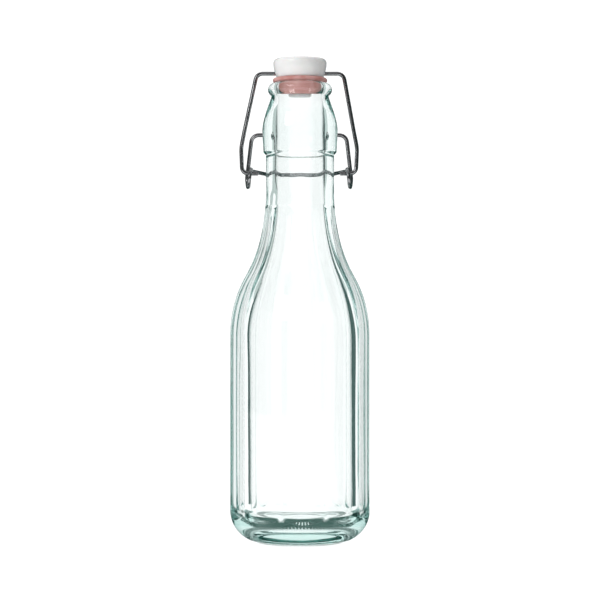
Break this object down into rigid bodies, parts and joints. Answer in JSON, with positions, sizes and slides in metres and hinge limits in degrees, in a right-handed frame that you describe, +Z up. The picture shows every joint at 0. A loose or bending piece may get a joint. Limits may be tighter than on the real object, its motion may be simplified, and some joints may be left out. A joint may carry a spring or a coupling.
{
  "type": "swing top bottle",
  "caption": "Faceted clear glass bottle closed by a white stopper with a rubber washer, held down by a hinged wire bail and lever.",
  "frame": {"origin": "on the bottle's axis, at the plane the bottle stands on", "axes": "+Z up along the bottle's axis; +X along both wires' hinge lines; the lever's handle is on the +Y side"},
  "size_m": [0.0622, 0.0616, 0.2148],
  "materials": {
    "glass": "clear pressed glass with a pale aqua tint, darker along thick edges",
    "stopper_white": "smooth glossy white",
    "washer_rubber": "dusty red moulded rubber",
    "wire_steel": "bright drawn steel wire"
  },
  "bodies": {
    "bottle_body": {"bottle": "glass"},
    "lever": {"lever_wire": "wire_steel"},
    "bail": {"bail_wire": "wire_steel"},
    "stopper_body": {"stopper": "stopper_white", "gasket": "washer_rubber"}
  },
  "joints": [
    {"name": "lever_pivot", "type": "hinge", "parent": "bottle_body", "child": "lever", "pos_m": [0, 0, 0.1809], "axis": [1, 0, 0], "range_deg": [0, 90]},
    {"name": "bail_hook", "type": "hinge", "parent": "lever", "child": "bail", "pos_m": [0, -0.0024, 0.1636], "axis": [1, 0, 0], "range_deg": [-58, 0]},
    {"name": "stopper_cross", "type": "hinge", "parent": "bail", "child": "stopper_body", "pos_m": [0, 0, 0.2083], "axis": [1, 0, 0], "range_deg": [-33, 0]}
  ],
  "couplings": [
    {"joint": "bail_hook", "follows": "lever_pivot", "ratio": -0.64},
    {"joint": "stopper_cross", "follows": "lever_pivot", "ratio": -0.36}
  ]
}
